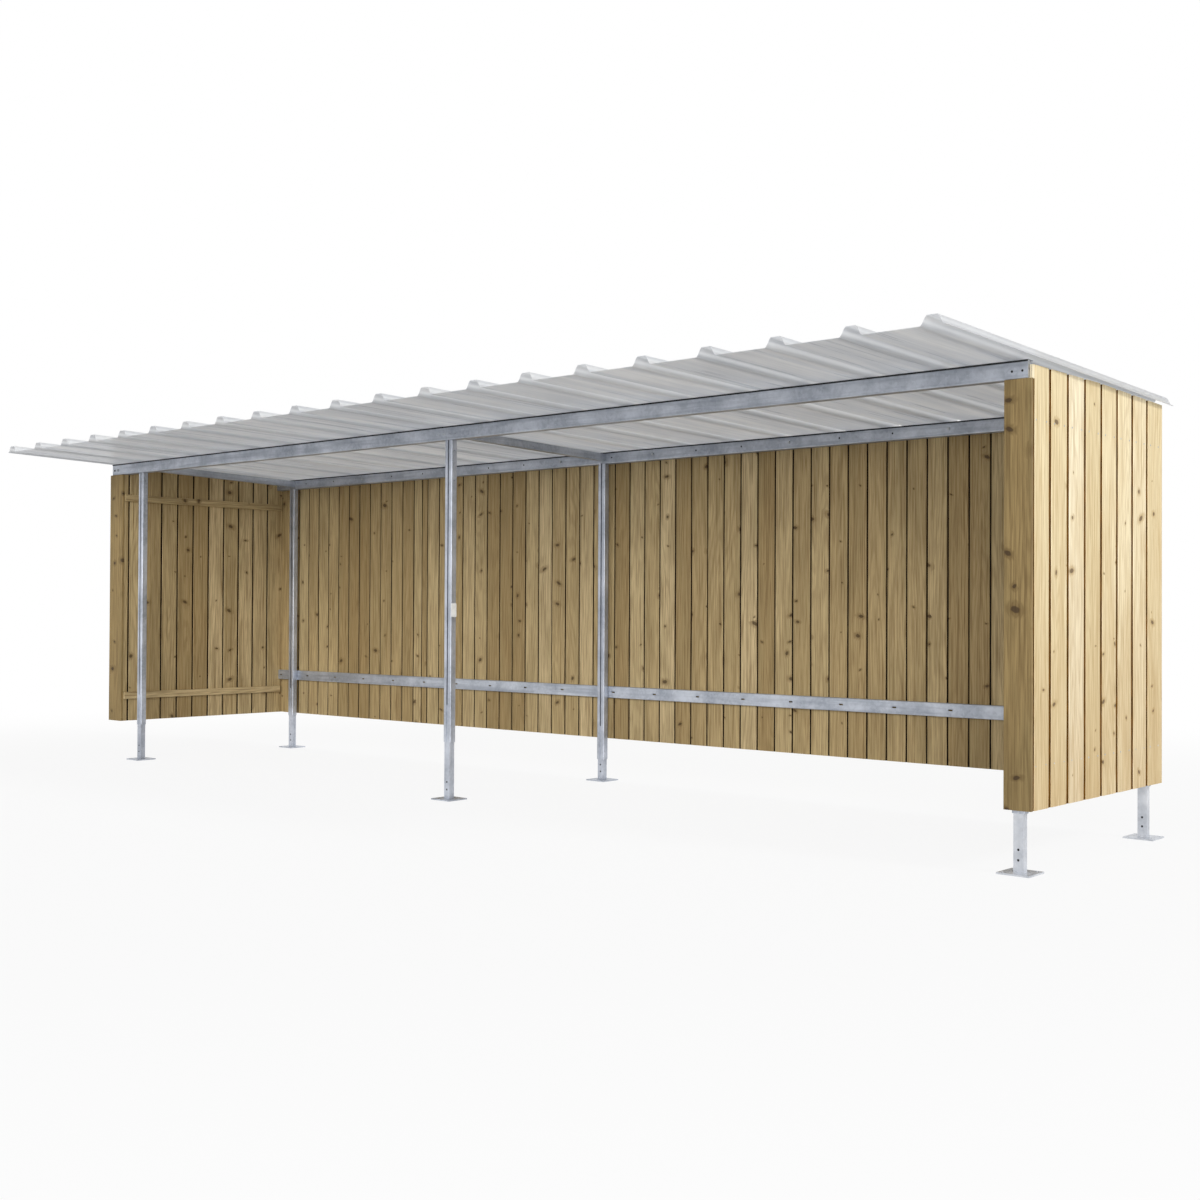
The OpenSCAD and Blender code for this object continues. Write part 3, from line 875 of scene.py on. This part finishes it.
def painted_shadow_strips():
    """Black strips of painted shadow along the upper edges of the front beam and the rear top rail,
    where the roof sheet leaves a shaded gap.
    """
    corners = []
    for name in ("front_beam_left", "front_beam_right", "rear_top_rail_left",
                 "rear_top_rail_right"):
        lo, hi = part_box(name)
        corners.append(((lo.x, lo.y - STRIP_THICKNESS, hi.z - STRIP_HEIGHT),
                        (hi.x, lo.y, hi.z - STRIP_THICKNESS / 2)))
    boxes_piece("painted_shadow_strips", corners, PAINTED_SHADE_BLACK)


def beam_end_lips():
    """Two folded lips that close the front beam's right end, with a notch between them."""
    lo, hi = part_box("front_beam_right")
    centre = (lo.z + hi.z) / 2
    corners = [((hi.x, lo.y, z_low), (hi.x + LIP_THICKNESS, lo.y + LIP_DEPTH, z_high))
               for z_low, z_high in ((lo.z, centre - LIP_NOTCH / 2),
                                     (centre + LIP_NOTCH / 2, hi.z))]
    boxes_piece("beam_end_lips", corners, ZINC)


def blank_plate():
    """Plain white plastic plate, with nothing on it, on the side of the middle front post."""
    lo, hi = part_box("post_front_mid")
    low = Vector((hi.x, lo.y, PLATE_LOW))
    high = Vector((hi.x + PLATE_THICKNESS, hi.y, PLATE_LOW + PLATE_HEIGHT))
    boxes_piece("blank_plate", [(low, high)], WHITE_PLASTIC, PLATE_CORNER)


def painted_shade_discs():
    """Black discs of painted shade in the unused holes of the feet and of the front beam's right end,
    for their dark insides.
    """
    points = []
    for row in ("front", "rear"):
        for place in ("left", "mid", "right"):
            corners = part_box(f"foot_{row}_{place}")
            points += [(middle(corners, 0), middle(corners, 1) - FOOT_FACE, height)
                       for height in FOOT_HOLES]
    lo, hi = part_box("front_beam_right")
    points += [(hi.x - from_end, lo.y, lo.z + BEAM_HOLE_RISE) for from_end in BEAM_HOLES]
    fixings("painted_shade_discs", [fixing_set(SHADE_DISC, points, FACE_FRONT, PAINTED_SHADE_BLACK)], PAINTED_SHADE_BLACK)


def rail_bolts():
    """Cup-head bolts in every third hole of the rear top rail, and black discs of painted shade in
    the others.
    """
    points = []
    for side in ("left", "right"):
        lo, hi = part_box(f"rear_top_rail_{side}")
        count = math.floor((hi.x - lo.x - 2 * RAIL_HOLE_EDGE) / RAIL_HOLE_PITCH)
        start = (lo.x + hi.x - count * RAIL_HOLE_PITCH) / 2
        points += [(start + i * RAIL_HOLE_PITCH, lo.y, (lo.z + hi.z) / 2)
                   for i in range(count + 1)]
    bolted = points[::-3]
    shaded_holes = [point for point in points if point not in bolted]
    fixings("rear_rail_bolts", [fixing_set(CUP_BOLT, bolted, FACE_FRONT)])
    fixings("rear_rail_painted_shade_discs", [fixing_set(SHADE_DISC, shaded_holes, FACE_FRONT, PAINTED_SHADE_BLACK)], PAINTED_SHADE_BLACK)


def beam_bolts():
    """Hexagon bolts in the two holes at the front beam's left end."""
    lo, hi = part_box("front_beam_left")
    points = [(lo.x + from_end, lo.y, lo.z + BEAM_HOLE_RISE) for from_end in BEAM_HOLES]
    fixings("front_beam_bolts", [fixing_set(HEX_BOLT, points, FACE_FRONT)])


def across_boards(widths, gap):
    """Distances of two screws on each board from the start of the row."""
    at, places = 0.0, []
    for pitch in widths:
        width = pitch - gap
        inset = min(SCREW_INSET, width / 3)
        places += [at + inset, at + width - inset]
        at += pitch
    return places


def board_screws():
    """Two screws through each board into the rails behind it, on the outside of the walls."""
    sets = []
    for side in ("left", "right"):
        lo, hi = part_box(f"back_wall_{side}")
        points = [(lo.x + x, hi.y - SCREW_SINK, middle(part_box(rail), 2))
                  for rail in (f"mid_rail_{side}", f"rear_top_rail_{side}")
                  for x in across_boards(back_widths(side, hi.x - lo.x), BACK_GAP)]
        sets.append(fixing_set(WOOD_SCREW, points, FACE_BACK))
    for wall, face, turn in (("right_wall", 1, FACE_RIGHT), ("left_wall_outer", 0, FACE_LEFT)):
        lo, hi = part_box(wall)
        outer = hi.x - SCREW_SINK if face else lo.x + SCREW_SINK
        points = [(outer, lo.y + y, middle(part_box(rail), 2))
                  for rail in ("right_upper_timber_rail", "right_lower_timber_rail")
                  for y in across_boards(even(hi.y - lo.y, SIDE_BOARDS), SIDE_GROOVE)]
        sets.append(fixing_set(WOOD_SCREW, points, turn))
    fixings("board_screws", sets)


roof_screws()
painted_shadow_strips()
beam_end_lips()
blank_plate()
painted_shade_discs()
rail_bolts()
beam_bolts()
board_screws()


# ---------------------------------------------------------------- carried-over steel

# Starts of the node names and their steel; a later, longer one wins over an earlier one
STEEL_OF = {"post_": STEEL_UPRIGHT, "foot_": STEEL_UPRIGHT, "front_beam_": STEEL_LENGTHWISE,
            "rear_top_rail_": STEEL_LENGTHWISE, "mid_rail_": STEEL_LENGTHWISE,
            # The two right feet take the lighter steel of painted sunlight
            "rafter_": STEEL_CROSSWISE, "foot_front_right": STEEL_FOOT_PAINTED_SUNLIGHT,
            "foot_rear_right": STEEL_FOOT_PAINTED_SUNLIGHT}

for name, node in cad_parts.items():
    for start, steel in STEEL_OF.items():
        if name.startswith(start):
            node.data.materials.clear()
            node.data.materials.append(steel)


# ---------------------------------------------------------------- stage, light and camera

def plainly_seen(tree):
    """1 for what the camera, gloss and clear sheets see, and 0 for the light on the object."""
    camera = add_node(tree, "ShaderNodeLightPath", out="Is Camera Ray")
    rays = camera.node.outputs
    indirect = add_node(tree, "ShaderNodeMath",
                        (rays["Is Glossy Ray"], rays["Is Transmission Ray"]), operation="MAXIMUM")
    return add_node(tree, "ShaderNodeMath", (camera, indirect), operation="MAXIMUM")


def stage_floor():
    """Pale floor that fades to plain white away from the object and keeps its soft shadow."""
    material, tree, shader = new_material("pale_floor")
    shader.inputs["Base Color"].default_value = linear("#D0D0D0")
    shader.inputs["Roughness"].default_value = 0.9
    shader.inputs["Specular IOR Level"].default_value = 0.0
    white = add_node(tree, "ShaderNodeEmission", {"Strength": 1.0})
    place = add_node(tree, "ShaderNodeTexCoord", out="Object")
    away = add_node(tree, "ShaderNodeVectorMath", (place,), out="Value", operation="LENGTH")
    fade = add_node(tree, "ShaderNodeMapRange", (away, FADE_START, FADE_END, FLOOR_WHITENESS, 1.0),
                    interpolation_type="SMOOTHSTEP")
    share = add_node(tree, "ShaderNodeMath", (plainly_seen(tree), fade), operation="MULTIPLY")
    mixed = add_node(tree, "ShaderNodeMixShader", (share, shader.outputs[0], white))
    tree.links.new(mixed, tree.nodes["Material Output"].inputs["Surface"])
    far = FLOOR_REACH
    mesh = bpy.data.meshes.new("floor")
    mesh.from_pydata([(-far, -far, 0), (far, -far, 0), (far, far, 0), (-far, far, 0)], [],
                     [(0, 1, 2, 3)])
    mesh.materials.append(material)
    floor = bpy.data.objects.new("floor", mesh)
    bpy.context.scene.collection.objects.link(floor)


def world_light():
    """White for what the camera, gloss and clear sheets see; a softer light on the object."""
    world = bpy.data.worlds.new("studio")
    bpy.context.scene.world = world
    world.use_nodes = True
    tree = world.node_tree
    level = add_node(tree, "ShaderNodeMath",
                     (plainly_seen(tree), 1.0 - WORLD_STRENGTH, WORLD_STRENGTH),
                     operation="MULTIPLY_ADD")
    back = tree.nodes["Background"]
    back.inputs["Color"].default_value = (1, 1, 1, 1)
    tree.links.new(level, back.inputs["Strength"])


def sun(name, direction, strength, spread):
    """Soft lamp that shines along direction."""
    data = bpy.data.lights.new(name, "SUN")
    data.energy = strength
    data.angle = math.radians(spread)
    lamp = bpy.data.objects.new(name, data)
    lamp.rotation_euler = Vector(direction).to_track_quat("-Z", "Y").to_euler()
    bpy.context.scene.collection.objects.link(lamp)


def make_camera():
    """The scene's camera, from the sizes above."""
    data = bpy.data.cameras.new("camera")
    data.sensor_width = SENSOR_WIDTH
    data.lens = FOCAL
    data.shift_x, data.shift_y = SHIFT
    data.clip_end = FAR_CLIP
    camera = bpy.data.objects.new("camera", data)
    yaw, pitch, roll = (math.radians(a) for a in (YAW, PITCH, ROLL))
    ahead = Vector((-math.sin(yaw) * math.cos(pitch), math.cos(yaw) * math.cos(pitch),
                    math.sin(pitch)))
    level = Vector((math.cos(yaw), math.sin(yaw), 0))
    over = level.cross(ahead)
    right = level * math.cos(roll) + over * math.sin(roll)
    up = over * math.cos(roll) - level * math.sin(roll)
    eye = Vector((roof_hi.x + EYE_RIGHT, roof_lo.y - EYE_OUT, EYE_HEIGHT))
    camera.matrix_world = Matrix((
        (right.x, up.x, -ahead.x, eye.x), (right.y, up.y, -ahead.y, eye.y),
        (right.z, up.z, -ahead.z, eye.z), (0, 0, 0, 1)))
    bpy.context.scene.collection.objects.link(camera)
    bpy.context.scene.camera = camera


stage_floor()
world_light()
for lamp in LAMPS:
    sun(*lamp)
make_camera()
bpy.context.scene.view_settings.view_transform = "Standard"
